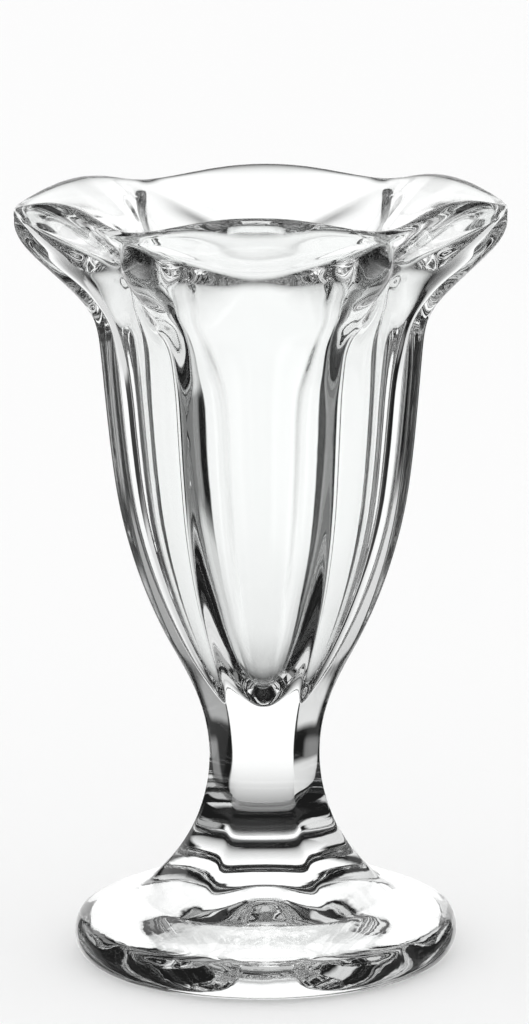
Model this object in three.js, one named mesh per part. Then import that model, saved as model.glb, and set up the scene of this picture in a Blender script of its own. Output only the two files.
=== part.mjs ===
// Footed sundae glass: a six-sided pressed bowl with an arched petal rim,
// a solid six-sided stem and a round domed foot, fused one on top of the other.
// Millimetres, +Z up, origin in the middle of the ring that the glass stands on.
// The flat sides face -Y and every 60 degrees from there; the corners lie between them.

import * as THREE from 'three';

// foot
const FOOT_RADIUS = 41.3;
const FOOT_EDGE_ROUND = 4.8;          // half the height of the rounded edge
const FOOT_EDGE_DEPTH = 3.6;          // how far its round reaches in from the outer edge
const FOOT_EDGE_SWEEP = 160;          // degrees of that round, from straight down to the dome
const STANDING_RING_WIDTH = 3.0;      // flat ring under the foot
const FOOT_HOLLOW_DEPTH = 6.4;        // the underside is pressed hollow inside the ring
const DOME_RISE = 4.4;                // from the top of the edge to the end of the dome
const DOME_END_RADIUS = 25.8;
const FLARE_RISE = 7.8;               // from the end of the dome to the joint with the stem
const FLARE_RADIUS = 18.9;            // corner radius at the joint of foot and stem

// stem
const STEM_LENGTH = 23.9;             // between its two joints
const WAIST_RADIUS = 11.8;            // corner radius at the thinnest place
const WAIST_DROP = 3.2;               // how far the waist lies under the joint with the bowl
const STEM_FLARE_RADIUS = 14.0;       // corner radius half-way down the flare
const STEM_FLARE_DROP = 14.6;         // and how far that lies under the joint with the bowl
const STEM_FLAT_RATIO = 0.92;         // flat radius over corner radius, rounded hexagon
const STEM_SOFT_ANGLE = 4;            // how softly its corners are rounded, in degrees

// bowl, heights counted upwards from its joint with the stem
const COLLAR_HEIGHT = 6.8;
const COLLAR_RADIUS = 13.0;
const NECK_HEIGHT = 14.5;
const NECK_RADIUS = 16.1;
const BELLY_HEIGHT = 37.4;
const BELLY_RADIUS = 27.0;
const BARREL_HEIGHT = 63.3;
const BARREL_RADIUS = 32.2;
const BOWL_HEIGHT = 118.8;            // top of the petals
const BOWL_FLAT_RATIO = 0.864;        // flat radius over corner radius in the body
const BOWL_SOFT_ANGLE = 1.6;          // its corners are crisp

// rim, drops counted downwards from the top of the petals
const SHOULDER_DROP = 30.6;           // end of the straight body
const SHOULDER_RADIUS = 34.4;
const CORNER_TURN_DROP = 23.7;        // where the corner has turned outwards
const CORNER_TURN_RADIUS = 37.4;
const NOSE_LOW_DROP = 10.9;           // lower end of the corner's round nose
const NOSE_LOW_RADIUS = 50.3;
const NOSE_DROP = 6.6;                // widest point of the nose
const NOSE_RADIUS = 51.8;
const CORNER_DROP = 3.2;              // top of the corner
const SIDE_TOP_DROP = 16.4;           // where the flat side begins to turn out
const SIDE_TOP_RADIUS = 31.2;
const PETAL_REACH = 13.1;             // height of the petal's outer face
const PETAL_ROOT_RADIUS = 33.2;       // where that face leaves the flat side
const PETAL_RADIUS = 46.4;            // outer edge in the middle of a petal
const PETAL_ARCH_RATIO = 1.75;        // how much later than a straight side its root climbs to the corner
const RIM_SOFT_ANGLE = 7;             // corners of the rim are rounder than those of the body
const SIDE_BEND_RATIO = 0.4;          // share of its bend to the petal that a side has made beside the nose
const SIDE_RISE_RATIO = 0.3;          // how far below the bend a side still is where the corner has turned

// hollow of the bowl
const LIP = 1.8;                      // thickness of the petal's edge
const CORNER_LIP = 2.8;               // thickness of the corner's edge
const FUNNEL_CORNER_DROP = 12.9;      // slope of the funnel down a corner
const FUNNEL_CORNER_RADIUS = 39.6;
const FUNNEL_SIDE_DROP = 11.9;        // and down the middle of a petal
const FUNNEL_SIDE_RADIUS = 32.0;
const THROAT_CORNER_DROP = 22.9;      // where the funnel turns down into the hollow
const THROAT_CORNER_RADIUS = 29.4;
const THROAT_SIDE_DROP = 17.1;
const THROAT_SIDE_RADIUS = 26.9;
const FUNNEL_SOFT_ANGLE = 12;
const WALL = 3.6;                     // glass behind the middle of a flat side
const BELLY_WALL = 4.7;
const NECK_WALL = 7.6;                // glass round the pointed bottom
const FLOOR = 9.9;                    // solid glass over the joint with the stem

// facets
const STEPS_PER_SIDE = 10;
const STEPS_PER_STATION = 3;
const EDGE_STEPS = 10;
const HOLLOW_STEPS = 8;

const SIDES = 6;
const HALF_SIDE = Math.PI / SIDES;

// heights of the two joints
const FOOT_JOINT = 2 * FOOT_EDGE_ROUND + DOME_RISE + FLARE_RISE;
const BOWL_JOINT = FOOT_JOINT + STEM_LENGTH;

// Angles of the columns round the axis, with their turn from the middle of a flat side.
// They crowd towards the corners.
function columns() {
  const list = [];
  for (let side = 0; side < SIDES; side += 1) {
    for (let step = 0; step < STEPS_PER_SIDE; step += 1) {
      const part = (2 * step) / STEPS_PER_SIDE - 1;
      const turn = HALF_SIDE * Math.sin((part * Math.PI) / 2);
      list.push({ angle: 2 * HALF_SIDE * side + turn, turn });
    }
  }
  return list;
}

// How far a straight side has come from its middle, 0, to its corner, 1. The corner is rounded
// over the soft angle, and an arch above 1 keeps the side low for longer.
function cornerShare(turn, { softAngle, arch }) {
  const reach = (phi) => 1 / Math.cos(phi) - 1;
  const soft = softAngle * THREE.MathUtils.DEG2RAD;
  const rounded = Math.max(0, HALF_SIDE - Math.hypot(HALF_SIDE - Math.abs(turn), soft));
  return (reach(rounded) / reach(HALF_SIDE - soft)) ** arch;
}

// One station of a wall: a point on the corner line and one on the middle line of a flat side.
function station(cornerRadius, cornerZ, flatRadius, flatZ, softAngle, arch = 1) {
  return {
    corner: new THREE.Vector3(cornerRadius, 0, cornerZ),
    flat: new THREE.Vector3(flatRadius, 0, flatZ),
    softAngle,
    arch,
  };
}

// A station whose two points are level.
function level(cornerRadius, flatRadius, z, softAngle) {
  return station(cornerRadius, z, flatRadius, z, softAngle);
}

// The station part of the way from one to another.
function between(a, b, part) {
  return {
    corner: a.corner.clone().lerp(b.corner, part),
    flat: a.flat.clone().lerp(b.flat, part),
    softAngle: THREE.MathUtils.lerp(a.softAngle, b.softAngle, part),
    arch: THREE.MathUtils.lerp(a.arch, b.arch, part),
  };
}

// Smooth rows through stations, so that both lines bend together.
function smooth(stations) {
  const corner = new THREE.CatmullRomCurve3(stations.map((s) => s.corner), false, 'centripetal');
  const flat = new THREE.CatmullRomCurve3(stations.map((s) => s.flat), false, 'centripetal');
  const last = stations.length - 1;
  const count = last * STEPS_PER_STATION;
  const rows = [];
  for (let i = 0; i <= count; i += 1) {
    const below = Math.min(Math.floor(i / STEPS_PER_STATION), last - 1);
    const row = between(stations[below], stations[below + 1], i / STEPS_PER_STATION - below);
    rows.push({ ...row, corner: corner.getPoint(i / count), flat: flat.getPoint(i / count) });
  }
  return rows;
}

// Closed skin over rows that run up the outside. A row on the axis becomes a point;
// an open end is closed by a flat cap.
function skin(rows) {
  const around = columns();
  const positions = [];
  const rings = rows.map((row) => {
    if (row.corner.x === 0) {
      positions.push(0, 0, row.corner.z);
      return [positions.length / 3 - 1];
    }
    return around.map(({ angle, turn }) => {
      const share = cornerShare(turn, row);
      const radius = THREE.MathUtils.lerp(row.flat.x, row.corner.x, share);
      const z = THREE.MathUtils.lerp(row.flat.z, row.corner.z, share);
      positions.push(radius * Math.sin(angle), -radius * Math.cos(angle), z);
      return positions.length / 3 - 1;
    });
  });
  const pole = (z) => {
    positions.push(0, 0, z);
    return [positions.length / 3 - 1];
  };
  if (rings[0].length > 1) rings.unshift(pole(rows[0].flat.z));
  if (rings[rings.length - 1].length > 1) rings.push(pole(rows[rows.length - 1].flat.z));
  const index = [];
  for (let r = 0; r + 1 < rings.length; r += 1) {
    const low = rings[r];
    const high = rings[r + 1];
    for (let c = 0; c < around.length; c += 1) {
      const next = (c + 1) % around.length;
      if (low.length === 1) index.push(low[0], high[next], high[c]);
      else if (high.length === 1) index.push(low[c], low[next], high[0]);
      else {
        index.push(low[c], low[next], high[next]);
        index.push(low[c], high[next], high[c]);
      }
    }
  }
  const geometry = new THREE.BufferGeometry();
  geometry.setAttribute('position', new THREE.Float32BufferAttribute(positions, 3));
  geometry.setIndex(index);
  return geometry;
}

// The section that stem and foot share, and the one that bowl and stem share.
const footJoint = level(FLARE_RADIUS, FLARE_RADIUS * STEM_FLAT_RATIO, FOOT_JOINT, STEM_SOFT_ANGLE);
const bowlJoint = level(
  WAIST_RADIUS + (NECK_RADIUS - WAIST_RADIUS) * (WAIST_DROP / (WAIST_DROP + NECK_HEIGHT)) ** 2,
  STEM_FLAT_RATIO * WAIST_RADIUS,
  BOWL_JOINT,
  STEM_SOFT_ANGLE,
);

function footRows() {
  const ringOuter = FOOT_RADIUS - FOOT_EDGE_DEPTH;
  const ringInner = ringOuter - STANDING_RING_WIDTH;
  const round = (radius, z) => level(radius, radius, z, STEM_SOFT_ANGLE);
  const rows = [];
  for (let i = 0; i <= HOLLOW_STEPS; i += 1) {
    const part = i / HOLLOW_STEPS;
    rows.push(round(ringInner * part, FOOT_HOLLOW_DEPTH * (1 - part ** 2)));
  }
  for (let i = 0; i <= EDGE_STEPS; i += 1) {
    const lean = ((i / EDGE_STEPS) * FOOT_EDGE_SWEEP - 90) * THREE.MathUtils.DEG2RAD;
    rows.push(round(ringOuter + FOOT_EDGE_DEPTH * Math.cos(lean), FOOT_EDGE_ROUND * (1 + Math.sin(lean))));
  }
  const edge = rows[rows.length - 1];
  const domeZ = 2 * FOOT_EDGE_ROUND + DOME_RISE;
  const flareMid = (DOME_END_RADIUS + 2 * FLARE_RADIUS) / 3;
  const upper = smooth([
    edge,
    round(DOME_END_RADIUS, domeZ),
    level(flareMid, flareMid * (1 + STEM_FLAT_RATIO) / 2, domeZ + FLARE_RISE / 2, STEM_SOFT_ANGLE),
    footJoint,
  ]);
  return rows.concat(upper.slice(1));
}

function stemRows() {
  const side = (drop, radius) => level(radius, radius * STEM_FLAT_RATIO, BOWL_JOINT - drop, STEM_SOFT_ANGLE);
  return smooth([
    footJoint,
    side(STEM_FLARE_DROP, STEM_FLARE_RADIUS),
    side(WAIST_DROP, WAIST_RADIUS),
    bowlJoint,
  ]);
}

function bowlRows() {
  const up = (height) => BOWL_JOINT + height;
  const down = (drop) => up(BOWL_HEIGHT - drop);
  const side = (radius, z) => level(radius, radius * BOWL_FLAT_RATIO, z, BOWL_SOFT_ANGLE);
  const rim = (cornerRadius, cornerDrop, flatRadius, flatDrop, arch) => (
    station(cornerRadius, down(cornerDrop), flatRadius, down(flatDrop), RIM_SOFT_ANGLE, arch)
  );
  const shoulder = side(SHOULDER_RADIUS, down(SHOULDER_DROP));
  const turned = rim(CORNER_TURN_RADIUS, CORNER_TURN_DROP, SIDE_TOP_RADIUS, SIDE_TOP_DROP, 1);
  const crease = rim(NOSE_RADIUS, NOSE_DROP, PETAL_ROOT_RADIUS, PETAL_REACH, PETAL_ARCH_RATIO);
  const noseLow = rim(NOSE_LOW_RADIUS, NOSE_LOW_DROP, SIDE_TOP_RADIUS, SIDE_TOP_DROP, PETAL_ARCH_RATIO);
  noseLow.flat.lerp(crease.flat, SIDE_BEND_RATIO);
  const slope = between(turned, noseLow, 0.5);
  slope.flat.copy(turned.flat);
  slope.softAngle = FUNNEL_SOFT_ANGLE;
  turned.flat.lerp(shoulder.flat, SIDE_RISE_RATIO);
  const edge = rim(NOSE_RADIUS - LIP / 2, CORNER_DROP + LIP / 4, PETAL_RADIUS, LIP / 2, 1);
  const top = rim(NOSE_RADIUS - LIP, CORNER_DROP, PETAL_RADIUS - LIP / 2, 0, 1);
  const outside = smooth([
    bowlJoint,
    side(COLLAR_RADIUS, up(COLLAR_HEIGHT)),
    side(NECK_RADIUS, up(NECK_HEIGHT)),
    side(BELLY_RADIUS, up(BELLY_HEIGHT)),
    side(BARREL_RADIUS, up(BARREL_HEIGHT)),
    shoulder,
    turned,
    slope,
    noseLow,
    crease,
    between(crease, edge, 0.5),
    edge,
    top,
  ]);
  const inner = (cornerRadius, cornerDrop, flatRadius, flatDrop) => (
    station(cornerRadius, down(cornerDrop), flatRadius, down(flatDrop), FUNNEL_SOFT_ANGLE)
  );
  const lip = inner(NOSE_RADIUS - CORNER_LIP, CORNER_DROP + LIP / 3, PETAL_RADIUS - LIP, LIP / 2);
  const funnel = inner(FUNNEL_CORNER_RADIUS, FUNNEL_CORNER_DROP, FUNNEL_SIDE_RADIUS, FUNNEL_SIDE_DROP);
  const throat = inner(THROAT_CORNER_RADIUS, THROAT_CORNER_DROP, THROAT_SIDE_RADIUS, THROAT_SIDE_DROP);
  const flatAt = (radius, wall) => radius * BOWL_FLAT_RATIO - wall;
  const hollow = (radius, z) => level(radius, radius, z, FUNNEL_SOFT_ANGLE);
  const inside = smooth([
    top,
    lip,
    between(lip, funnel, 0.5),
    funnel,
    between(funnel, throat, 0.5),
    throat,
    hollow(flatAt(SHOULDER_RADIUS, WALL), down(SHOULDER_DROP)),
    hollow(flatAt(BARREL_RADIUS, WALL), up(BARREL_HEIGHT)),
    hollow(flatAt(BELLY_RADIUS, BELLY_WALL), up(BELLY_HEIGHT)),
    hollow(flatAt(NECK_RADIUS, NECK_WALL), up(NECK_HEIGHT)),
    hollow(0, up(FLOOR)),
  ]);
  return outside.concat(inside.slice(1));
}

function piece(name, rows, color) {
  const material = new THREE.MeshStandardMaterial({
    name: `${name}_glass`,
    color,
    transparent: true,
    opacity: 0.35,
    roughness: 0.03,
    metalness: 0,
  });
  const mesh = new THREE.Mesh(skin(rows), material);
  mesh.name = name;
  return mesh;
}

const glass = new THREE.Group();
glass.name = 'sundae_glass';
glass.add(piece('foot', footRows(), 0xe9eeee));
glass.add(piece('stem', stemRows(), 0xe9eeee));
glass.add(piece('bowl', bowlRows(), 0xe9eeee));

export default glass;
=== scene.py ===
# %% [markdown]
# # A pressed sundae glass, and the light that draws it
#
# The object is a clear footed dessert glass: a flat-sided tulip bowl with six arched petals at the rim, a
# short solid stem and a round domed foot. The three are pressed and fused hot, so they are modelled here
# as one unbroken skin, which is cut at its two seams afterwards. Clear glass has almost no colour of its
# own. What shows is the room behind it, bent by the shape, so the shape and the stage get the most care.

# %% Load the measured frame
from math import atan2, cos, exp, pi, radians, sin, sqrt

import bmesh
import bpy
from mathutils import Matrix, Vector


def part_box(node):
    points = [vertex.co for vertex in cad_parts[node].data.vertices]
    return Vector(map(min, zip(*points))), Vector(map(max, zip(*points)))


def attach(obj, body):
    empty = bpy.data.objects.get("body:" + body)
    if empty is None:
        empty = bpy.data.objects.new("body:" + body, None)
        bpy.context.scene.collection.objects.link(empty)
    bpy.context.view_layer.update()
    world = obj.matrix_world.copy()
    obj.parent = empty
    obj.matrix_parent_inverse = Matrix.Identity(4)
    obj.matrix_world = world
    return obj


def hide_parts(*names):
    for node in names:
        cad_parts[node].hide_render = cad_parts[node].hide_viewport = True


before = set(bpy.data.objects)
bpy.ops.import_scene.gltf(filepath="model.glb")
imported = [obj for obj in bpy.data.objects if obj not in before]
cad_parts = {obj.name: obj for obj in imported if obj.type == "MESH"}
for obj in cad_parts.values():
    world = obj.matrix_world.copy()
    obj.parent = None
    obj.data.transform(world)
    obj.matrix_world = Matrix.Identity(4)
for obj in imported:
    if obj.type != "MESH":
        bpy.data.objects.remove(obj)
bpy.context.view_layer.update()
MM = 0.001
foot_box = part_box("foot")
stem_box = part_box("stem")
FOOT_SEAM = stem_box[0].z
BOWL_SEAM = stem_box[1].z
print("seams at", round(FOOT_SEAM / MM, 2), "and", round(BOWL_SEAM / MM, 2), "mm")

# %% [markdown]
# ## The camera
#
# The photograph was taken from about a metre away with a long lens, a little above the rim. The same
# lens, height and tilt put every edge of the model where the photograph has it, so the camera is set up
# before any piece.

# %% Camera
PHOTO_HEIGHT_PX = 1024
FOCAL_LENGTH_PX = 4570.9
SENSOR_WIDTH_MM = 36
CAMERA_DISTANCE = 0.950
CAMERA_HEIGHT = 0.2827
CAMERA_TILT = radians(11.13)
CAMERA_ROLL = radians(-0.43)
GLASS_TURN = radians(-1.18)
FRAME_SHIFT_PX = 1.82
FAR_CLIP = 100

camera = bpy.data.objects.new("camera", bpy.data.cameras.new("camera"))
bpy.context.scene.collection.objects.link(camera)
camera.data.sensor_width = SENSOR_WIDTH_MM
camera.data.lens = FOCAL_LENGTH_PX * SENSOR_WIDTH_MM / PHOTO_HEIGHT_PX
camera.data.shift_x = FRAME_SHIFT_PX / PHOTO_HEIGHT_PX
camera.data.clip_end = FAR_CLIP
camera.matrix_world = (
    Matrix.Rotation(-GLASS_TURN, 4, "Z")
    @ Matrix.Translation((0, -CAMERA_DISTANCE, CAMERA_HEIGHT))
    @ Matrix.Rotation(pi / 2 - CAMERA_TILT, 4, "X")
    @ Matrix.Rotation(CAMERA_ROLL, 4, "Z")
)
bpy.context.scene.camera = camera
print("camera lens", round(camera.data.lens, 1), "mm")

# %% [markdown]
# ## How a six-sided ring is drawn
#
# The whole glass can be pulled from one ring of points, extruded upwards, turned over at the lip and led
# down into the hollow. A scaled circle would give a round glass, so each new ring is laid on two lines
# instead: the line down a corner and the line down the middle of a flat side. In between, the points
# follow the straight side of a hexagon, whose corners are rounded a little. The points crowd towards the
# corners, where the surface turns fastest.

# %% Ring helpers
SIDES = 6
HALF_SIDE = pi / SIDES
POINTS_PER_SIDE = 12
CROWDING = 0.55
ROUND = 6


def turn_from_side(angle):
    """Angle from the middle of the nearest flat side, from minus to plus half a side."""
    return (angle + HALF_SIDE) % (2 * HALF_SIDE) - HALF_SIDE


def crowd(angle):
    """Moves an evenly spaced point towards its corner."""
    turn = turn_from_side(angle)
    share = turn / HALF_SIDE
    return angle - turn + HALF_SIDE * (CROWDING * sin(share * pi / 2) + (1 - CROWDING) * share)


def reach(turn):
    """How far out a straight side lies here: 0 at its middle, 1 at a sharp corner."""
    return (1 / cos(turn) - 1) / (1 / cos(HALF_SIDE) - 1)


def corner_share(turn, rounding):
    """Reach of a side whose corner is rounded over about this angle, in degrees."""
    soft = radians(rounding)
    softened = HALF_SIDE - sqrt((HALF_SIDE - abs(turn)) ** 2 + soft**2)
    return max(0.0, reach(softened) / reach(HALF_SIDE - soft)) if softened > 0 else 0.0


def round_ring(radius, height):
    return (radius, height, radius, height, ROUND, 1)


def sided_ring(radius, height, flatness, rounding):
    return (radius, height, radius * flatness, height, rounding, 1)


def place_ring(ring, even=False):
    """Lays the selected points on a ring: radius and height of corner and side, rounding, power."""
    corner_radius, corner_height, side_radius, side_height, rounding, power = ring
    skin = bmesh.from_edit_mesh(bpy.context.object.data)
    for point in skin.verts:
        if point.select:
            angle = atan2(point.co.x, -point.co.y)
            if even:
                angle = crowd(angle)
            share = corner_share(turn_from_side(angle), rounding) ** power
            radius = MM * (side_radius + (corner_radius - side_radius) * share)
            height = MM * (side_height + (corner_height - side_height) * share)
            point.co = (radius * sin(angle), -radius * cos(angle), height)
    bmesh.update_edit_mesh(bpy.context.object.data)


def grow(rings):
    """Extrudes the open edge once for each ring."""
    for ring in rings:
        bpy.ops.mesh.extrude_edges_move()
        place_ring(ring)
    print("grown by", len(rings), "rings to height", rings[-1][1], "mm")


# %% [markdown]
# ## Foot
#
# The foot stands on a narrow flat ring. Inside it a shallow bowl is pressed into the underside, with a
# small deeper tip in its middle. It acts as a lens under the dome: it draws the dark arch and the bright
# patch that show through the foot. Outside the ring the edge is a full round. The top is a low dome that
# turns up into the stem in a tight curve.

# %% Foot: underside, edge and dome
FOOT_RADIUS = foot_box[1].x / MM
EDGE_DEPTH = 3.4
EDGE_HALF_HEIGHT = 4.8
EDGE_ANGLES = (-75, -55, -30, -5, 20, 45, 62)
HOLLOW_RADIUS = 34.5
HOLLOW_DEPTH = 6.6
HOLLOW_CURVE = 1.8
TIP_RISE = 2.2
TIP_RADIUS = 7
HOLLOW_STEPS = (4, 9, 13, 17, 21, 25, 28, 31, 33.7)
STANDING_RING = (34.9, 36.1, 37.4)
DOME = ((36, 10.44), (32, 12.16), (28.5, 13.2))


def hollow_ring(radius):
    """A ring of the bowl that is pressed into the underside."""
    tip = TIP_RISE * exp(-((radius / TIP_RADIUS) ** 2))
    return round_ring(radius, HOLLOW_DEPTH * (1 - (radius / HOLLOW_RADIUS) ** HOLLOW_CURVE) + tip)


bpy.ops.object.select_all(action="DESELECT")
bpy.ops.mesh.primitive_circle_add(vertices=SIDES * POINTS_PER_SIDE, radius=HOLLOW_STEPS[0] * MM)
glass = bpy.context.object
glass.name = "glass"
bpy.ops.object.mode_set(mode="EDIT")
bpy.ops.mesh.select_all(action="SELECT")
place_ring(hollow_ring(HOLLOW_STEPS[0]), even=True)
grow([hollow_ring(radius) for radius in HOLLOW_STEPS[1:]])
grow([round_ring(radius, 0) for radius in STANDING_RING])
grow([
    round_ring(FOOT_RADIUS - EDGE_DEPTH * (1 - cos(turn)), EDGE_HALF_HEIGHT * (1 + sin(turn)))
    for turn in map(radians, EDGE_ANGLES)
])
grow([round_ring(*point) for point in DOME])

# %% [markdown]
# ## Stem
#
# The dome flows into six flat sides, which are faint on the foot and grow flatter up to the waist. Each
# ring of the flare is given its corner radius, height, flatness (side radius over corner radius) and
# corner rounding in degrees. The rings of the waist share one flatness and one rounding.

# %% Stem: flare and waist
FLARE = (
    (26.9, 14.4, 0.988, 3.3), (24.4, 15.9, 0.969, 3.3), (22.4, 18.1, 0.944, 3.3), (20.2, 20.4, 0.927, 3.3),
    (18.1, 23.1, 0.915, 3), (16.4, 25.8, 0.909, 2.8),
)
WAIST_FLATNESS = 0.92
WAIST_ROUNDING = 4
WAIST = ((15, 28.4), (13.6, 32), (12.5, 36), (11.9, 40), (11.8, 44))

grow([sided_ring(*ring) for ring in FLARE])
grow([sided_ring(radius, height, WAIST_FLATNESS, WAIST_ROUNDING) for radius, height in WAIST])

# %% [markdown]
# ## Bowl
#
# Above the waist the sides become a true hexagon with crisp corners, and the bowl swells like a tulip.
# The outside is drawn up to the height where corners and sides begin to part.

# %% Bowl: flat-sided body
SWELL = (
    (12.1, 48, 0.915, 3.5), (13, 52.5, 0.905, 3), (14.8, 57.6, 0.892, 2.5), (17.3, 62.6, 0.88, 2),
    (20.3, 67.8, 0.872, 1.6),
)
BODY_FLATNESS = 0.864
BODY_ROUNDING = 1.6
BODY = (
    (23, 73.3), (25.5, 79.3), (27.8, 86), (29.7, 93), (31.1, 100), (32.1, 108), (32.9, 116), (33.6, 124),
    (34.1, 130),
)

grow([sided_ring(*ring) for ring in SWELL])
grow([sided_ring(radius, height, BODY_FLATNESS, BODY_ROUNDING) for radius, height in BODY])

# %% [markdown]
# ## Rim
#
# Near the top the corners flare out early and droop, while each side runs straight up, turns out sharply
# and arches into a petal. A crease bounds the petal below: it starts low in the middle of a side and
# climbs to the corner's nose. The power on a ring bends that climb, so that it follows the round lower
# edge of a petal. Each ring gives the radius and height of its corner, the radius and height of its side,
# the rounding of its corners in degrees, and its power.

# %% Rim: flare, crease, petals and lip
CREASE_ROUNDING = 5.5
PETAL_ROUNDING = 11
LIP_ROUNDING = 9
CORNER_FLARE = (
    ((34.5, 134.2), (29.6, 136), 2.5, 1), ((35.4, 137.6), (30.2, 139.6), 5.4, 1),
    ((37.5, 140.9), (30.9, 142.3), 10.4, 1), ((40.7, 144.1), (31.3, 144.9), 13.9, 1),
    ((44.5, 147.6), (31.5, 146.3), 15.1, 1.04), ((48.1, 150.9), (31.7, 147.1), 13.9, 1.09),
    ((50.6, 153.7), (32.1, 148.3), 11.6, 1.15),
)
CREASE = (
    ((51.9, 156.2), (32.4, 150), 6.5, 1.22), ((52.2, 157.8), (33.2, 151), CREASE_ROUNDING, 1.28),
    ((52.1, 159), (34.4, 152.1), CREASE_ROUNDING, 1.28),
)
PETAL = (
    ((52, 159.6), (37.6, 154), PETAL_ROUNDING, 1.18), ((51.9, 160.1), (40.8, 156.9), PETAL_ROUNDING, 1.11),
    ((51.7, 160.5), (44.1, 159.9), PETAL_ROUNDING, 1.04), ((51.6, 160.8), (46.1, 162.3), PETAL_ROUNDING, 1),
)
LIP = (
    ((51.4, 161.1), (46.2, 163.5), LIP_ROUNDING, 1), ((51, 161.4), (46.2, 164.2), LIP_ROUNDING, 1),
    ((50.4, 161.4), (45.9, 164.6), LIP_ROUNDING, 1), ((49.8, 161.1), (45.1, 164.4), LIP_ROUNDING, 1),
    ((49.3, 160.6), (44.3, 163.7), PETAL_ROUNDING, 1),
)

for stretch in (CORNER_FLARE, CREASE, PETAL, LIP):
    grow([(*corner, *side, rounding, power) for corner, side, rounding, power in stretch])

# %% [markdown]
# ## Hollow
#
# The inside was formed by a smooth plunger. It follows the petals near the lip, turns down over a
# shoulder at the top of the flat sides, and is a plain round cone from there to its point deep in the
# bowl.

# %% Hollow: funnel, shoulder and cone
FUNNEL_ROUNDING = 16.5
FUNNEL = (
    ((49, 158.8), (42.1, 161.9)), ((47.5, 155.7), (38.4, 158.9)), ((44.7, 152.9), (34.8, 155.6)),
    ((41.4, 150.4), (31.5, 152.6)), ((37.7, 147.5), (28.6, 149.8)), ((34.9, 145.1), (27.5, 148.3)),
    ((32.6, 142.5), (27, 147.1)), ((30.5, 139.8), (26.9, 145.7)), ((29.1, 137), (26.7, 143)),
    ((27.8, 133.5), (26.6, 139.1)), ((26.8, 129.3), (26.2, 133.3)),
)
CONE = (
    (25.7, 125), (25, 117), (24.3, 109), (23.4, 101.5), (22.2, 94.5), (20.5, 88), (18.4, 82), (16.2, 76.8),
    (14, 72), (11.6, 67.6), (9, 63.6), (6, 59.8), (3, 57), (1.2, 56),
)

grow([(*corner, *side, FUNNEL_ROUNDING, 1) for corner, side in FUNNEL])
grow([round_ring(*point) for point in CONE])

# %% [markdown]
# ## Closing and smoothing the skin
#
# Two small holes are left, under the foot and at the point of the hollow. They are filled and poked into
# fans. A subdivision surface then rounds the whole skin, and is applied, so that the cuts at the seams
# can follow.

# %% Close and smooth
SMOOTHING = 2
QUAD_CORNERS = 4

bpy.ops.mesh.select_all(action="SELECT")
bpy.ops.mesh.fill_holes(sides=0)
bpy.ops.mesh.select_mode(type="FACE")
skin = bmesh.from_edit_mesh(glass.data)
for face in skin.faces:
    face.select = len(face.verts) > QUAD_CORNERS
bmesh.update_edit_mesh(glass.data)
bpy.ops.mesh.poke()
bpy.ops.mesh.select_all(action="SELECT")
bpy.ops.mesh.normals_make_consistent(inside=False)
bpy.ops.object.mode_set(mode="OBJECT")
smoothing = glass.modifiers.new("smooth skin", "SUBSURF")
smoothing.levels = SMOOTHING
smoothing.render_levels = SMOOTHING
bpy.ops.object.modifier_apply(modifier=smoothing.name)
bpy.ops.object.shade_smooth()
print("skin has", len(glass.data.polygons), "faces")

# %% [markdown]
# ## Cutting at the seams
#
# Bowl, stem and foot are separate pieces of the real construction, so the skin is copied twice and each
# copy is bisected at its seams and capped. Inside the glass there is nothing to see at a fused seam, so
# the caps get a clear material of their own, and their edges are marked sharp to keep the outside smooth
# up to the cut.

# %% Cut into bowl, stem and foot
CUT_PRECISION = 1e-7


def keep_part(piece, seam, upper):
    """Bisects a piece at a seam's height, keeps one side, and caps the cut."""
    bpy.ops.object.select_all(action="DESELECT")
    piece.select_set(True)
    bpy.context.view_layer.objects.active = piece
    bpy.ops.object.mode_set(mode="EDIT")
    bpy.ops.mesh.select_all(action="SELECT")
    bpy.ops.mesh.bisect(
        plane_co=(0, 0, seam), plane_no=(0, 0, 1), threshold=CUT_PRECISION,
        use_fill=True, clear_inner=upper, clear_outer=not upper,
    )
    bpy.ops.mesh.mark_sharp()
    bpy.ops.object.mode_set(mode="OBJECT")


def copy_piece(piece, name):
    """A copy with a mesh of its own."""
    copied = piece.copy()
    copied.data = piece.data.copy()
    copied.name = name
    bpy.context.scene.collection.objects.link(copied)
    return copied


bowl = copy_piece(glass, "glass_bowl")
stem = copy_piece(glass, "glass_stem")
foot = glass
foot.name = "glass_foot"
keep_part(bowl, BOWL_SEAM, upper=True)
keep_part(stem, BOWL_SEAM, upper=False)
keep_part(stem, FOOT_SEAM, upper=True)
keep_part(foot, FOOT_SEAM, upper=False)
for piece in (bowl, stem, foot):
    print(piece.name, len(piece.data.polygons), "faces")

# %% [markdown]
# ## Shader arithmetic
#
# The finishes and the stage are worked out with node maths. One small class wraps a node's output, so
# that the maths reads as ordinary Python, and each operator adds its own node.

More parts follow.
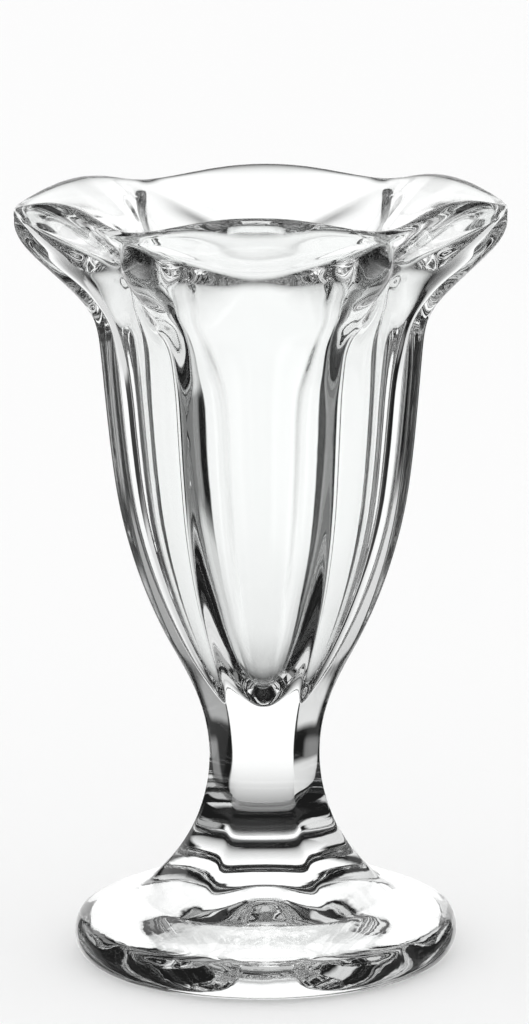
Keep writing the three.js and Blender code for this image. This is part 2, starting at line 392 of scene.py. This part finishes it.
# %% A value that builds nodes
class Value:
    """One output in a node tree, with arithmetic."""

    def __init__(self, tree, socket=None):
        self.tree = tree
        self.socket = socket

    def node(self, kind, settings=(), sockets=(), out=0):
        """Adds a node with these settings, fills its sockets by number or name, and gives one output."""
        made = self.tree.nodes.new(kind)
        for name, setting in dict(settings).items():
            setattr(made, name, setting)
        for key, source in dict(sockets).items():
            if isinstance(source, Value):
                self.tree.links.new(source.socket, made.inputs[key])
            else:
                made.inputs[key].default_value = source
        return Value(self.tree, made.outputs[out])

    def math(self, operation, *others):
        return self.node("ShaderNodeMath", {"operation": operation}, enumerate((self, *others)))

    def __add__(self, other):
        return self.math("ADD", other)

    def __sub__(self, other):
        return self.math("SUBTRACT", other)

    def __rsub__(self, other):
        return self * -1 + other

    def __mul__(self, other):
        return self.math("MULTIPLY", other)

    def __truediv__(self, other):
        return self.math("DIVIDE", other)

    def __or__(self, other):
        return self.math("MAXIMUM", other)

    def __abs__(self):
        return self.math("ABSOLUTE")

    def __gt__(self, other):
        return self.math("GREATER_THAN", other)

    __radd__ = __add__
    __rmul__ = __mul__

    def fade(self, start, end):
        """0 before start, 1 after end, smooth between."""
        limits = {"Value": self, "From Min": start, "From Max": end}
        return self.node("ShaderNodeMapRange", {"interpolation_type": "SMOOTHSTEP"}, limits)

    def split(self):
        """The x, y and z of a vector."""
        parts = self.node("ShaderNodeSeparateXYZ", (), {0: self}).socket.node.outputs
        return [Value(self.tree, part) for part in parts]


# %% [markdown]
# ## Glass
#
# Pressed glass is clear, but its surface keeps a trace of the cool mould: long shallow ripples that make
# the edges of reflections slightly ragged. The ripples are a stretched noise through a Bump node. A faint
# grey-green drift in the colour and a breath of roughness stand for the haze of everyday glass.

# %% Glass finishes
GLASS_IOR = 1.52
CLEAR = (0.985, 0.990, 0.988, 1)
DEEPER = (0.965, 0.978, 0.972, 1)
RIPPLE_STRETCH = (1, 1, 0.35)
RIPPLE_DETAIL = 2
DRIFT_DETAIL = 1
RIPPLES_PER_DRIFT = 4
HAZY_DRIFT = (0.45, 0.8)
# A Mix node has its colours on these sockets.
MIX_SHARE, MIX_FIRST, MIX_SECOND = 0, 6, 7
MIXED_COLOUR = 2


def glass_finish(name, ripple_scale, ripple_depth, haze):
    """Clear glass with mould ripples of this many waves a metre and depth in metres, and this much haze."""
    material = bpy.data.materials.new(name)
    material.use_nodes = True
    tree = material.node_tree
    shader = tree.nodes["Principled BSDF"]
    shader.inputs["Transmission Weight"].default_value = 1
    shader.inputs["IOR"].default_value = GLASS_IOR
    place = Value(tree).node("ShaderNodeTexCoord", out="Object")
    along = place.node("ShaderNodeMapping", (), {"Vector": place, "Scale": RIPPLE_STRETCH})
    fine = {"Vector": along, "Scale": ripple_scale, "Detail": RIPPLE_DETAIL}
    ripple = along.node("ShaderNodeTexNoise", (), fine)
    broad = {"Vector": place, "Scale": ripple_scale / RIPPLES_PER_DRIFT, "Detail": DRIFT_DETAIL}
    drift = place.node("ShaderNodeTexNoise", (), broad)
    shades = {MIX_SHARE: drift, MIX_FIRST: CLEAR, MIX_SECOND: DEEPER}
    tint = place.node("ShaderNodeMix", {"data_type": "RGBA"}, shades, out=MIXED_COLOUR)
    bump = place.node("ShaderNodeBump", (), {"Strength": 1, "Distance": ripple_depth, "Height": ripple})
    rough = drift.fade(*HAZY_DRIFT) * haze
    tree.links.new(tint.socket, shader.inputs["Base Color"])
    tree.links.new(rough.socket, shader.inputs["Roughness"])
    tree.links.new(bump.socket, shader.inputs["Normal"])
    print("finish", name, "with", len(tree.nodes), "nodes")
    return material


def seam_finish():
    """A fused seam inside the glass can't be seen."""
    material = bpy.data.materials.new("fused_seam")
    material.use_nodes = True
    material.node_tree.nodes["Principled BSDF"].inputs["Alpha"].default_value = 0
    return material


fused_seam = seam_finish()
FINISHES = {
    bowl: glass_finish("bowl_glass", ripple_scale=220, ripple_depth=0.00002, haze=0.01),
    stem: glass_finish("stem_glass", ripple_scale=260, ripple_depth=0.00002, haze=0.01),
    foot: glass_finish("foot_glass", ripple_scale=200, ripple_depth=0.00003, haze=0.02),
}
for piece, finish in FINISHES.items():
    piece.data.materials.append(finish)
    piece.data.materials.append(fused_seam)
    for face in piece.data.polygons:
        if len(face.vertices) > QUAD_CORNERS:
            face.material_index = 1

# %% [markdown]
# ## Every piece rides on the frame
#
# The glass has no moving part, so all three pieces ride on the one body, and each stands for its solid.

# %% Join the pieces to the frame
for piece, node in ((bowl, "bowl"), (stem, "stem"), (foot, "foot")):
    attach(piece, "root")
    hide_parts(node)
    print(piece.name, "stands for", node)

# %% [markdown]
# ## Stage
#
# Glass photographers put a bright panel behind the glass and black cards beside it: the panel fills the
# glass with white, and the cards draw its edges as dark lines. This set has a white panel behind the
# glass, with a white strip of floor that leads up to it, soft lamps on either side of it, and further
# white panels where other views look. A panel is given by the middle and half width of its headings, the
# heights over which its lower and its upper edge fade, all in degrees, and its brightness. The camera and
# the floor's own shading meet a plain white room instead, so the floor stays pale and keeps a soft
# shadow.

# %% Stage: helpers
WHOLE_TURN = 360
DEGREES = 180 / pi
EDGE = 2


def share_of(heading, middle, half_width):
    """1 within a panel's headings, 0 outside them."""
    apart = heading - middle
    apart = apart - (apart / WHOLE_TURN + 0.5).math("FLOOR") * WHOLE_TURN
    return 1 - abs(apart).fade(half_width - EDGE, half_width + EDGE)


def light_path(tree, name):
    return Value(tree).node("ShaderNodeLightPath", out=name)


# %% Stage: room
ROOM_LEVEL = 1.16
ROOM_CARD = 0.012
BACK_HEADING = 1
BACK_HALF_WIDTH = 27.5
BACK_WIDENS = 9
BACK_TAPER = (-34, -10)
BACK_BOTTOM = (-60, -8)
BACK_TOP = (60, 78)
BACK_LEVEL = 1.18
CEILING = (50, 65)
CEILING_LEVEL = 0.6
LAMPS = (
    (-41, 8, (-3, 3), (40, 55), 0.85), (40, 7, (0, 6), (35, 50), 0.45),
    (-53, 12, (-34, -26), (-10, -4), 0.25), (52, 7, (-34, -26), (-10, -4), 0.25),
)
FURTHER_PANELS = (
    (-92, 22, (-14, -6), (20, 35), 0.7), (-46, 18, (-52, -44), (-19, -14), 0.82),
    (135, 28, (-50, -30), (-8, -2), 0.9), (135, 14, (-8, -2), (12, 24), 0.55),
)

world = bpy.data.worlds.new("studio")
bpy.context.scene.world = world
world.use_nodes = True
room = world.node_tree
x, y, z = Value(room).node("ShaderNodeTexCoord", out="Generated").split()
heading = x.math("ARCTAN2", y) * DEGREES
height = z.math("ARCSINE") * DEGREES


def panel(middle, half_width, bottom, top, brightness):
    """A soft-edged panel of the room."""
    return share_of(heading, middle, half_width) * height.fade(*bottom) * (1 - height.fade(*top)) * brightness


level = height.fade(*CEILING) * CEILING_LEVEL | ROOM_CARD
back_half_width = BACK_HALF_WIDTH + BACK_WIDENS * (1 - height.fade(*BACK_TAPER))
level = level | panel(BACK_HEADING, back_half_width, BACK_BOTTOM, BACK_TOP, BACK_LEVEL)
for lamp in LAMPS:
    level = level | panel(*lamp)
through = light_path(room, "Is Transmission Ray")
for further in FURTHER_PANELS:
    level = level | through * panel(*further)
plain = light_path(room, "Is Camera Ray") | (light_path(room, "Diffuse Depth") > 0.5)
strength = plain * ROOM_LEVEL + (1 - plain) * level
room.links.new(strength.socket, room.nodes["Background"].inputs["Strength"])
room.nodes["Background"].inputs["Color"].default_value = (1, 1, 1, 1)
print("room has", 1 + len(FURTHER_PANELS), "white panels and", len(LAMPS), "lamps")

# %% Stage: floor
FLOOR_COLOUR = (0.9, 0.9, 0.9, 1)
FLOOR_SIZE = 30
FLOOR_DROP = 0.0003

bpy.ops.object.select_all(action="DESELECT")
bpy.ops.mesh.primitive_plane_add(size=FLOOR_SIZE, location=(0, 0, 0))
floor = bpy.context.object
floor.name = "floor"
bpy.ops.transform.translate(value=(0, 0, -FLOOR_DROP))
bpy.ops.object.transform_apply()
floor.visible_transmission = False
floor.visible_glossy = False
paint = bpy.data.materials.new("floor_paint")
paint.use_nodes = True
floor.data.materials.append(paint)
matt = Value(paint.node_tree).node("ShaderNodeBsdfDiffuse", (), {"Color": FLOOR_COLOUR})
paint.node_tree.links.new(matt.socket, paint.node_tree.nodes["Material Output"].inputs["Surface"])
print("floor is", FLOOR_SIZE, "m wide")

# %% [markdown]
# ## Light paths
#
# A ray crosses many surfaces on its way through a glass, so it may bend and bounce more often than usual.

# %% Render paths
GLASS_BOUNCES = 24
scene = bpy.context.scene
scene.view_settings.view_transform = "Standard"
scene.cycles.max_bounces = GLASS_BOUNCES
scene.cycles.transmission_bounces = GLASS_BOUNCES
scene.cycles.glossy_bounces = GLASS_BOUNCES
scene.cycles.transparent_max_bounces = GLASS_BOUNCES
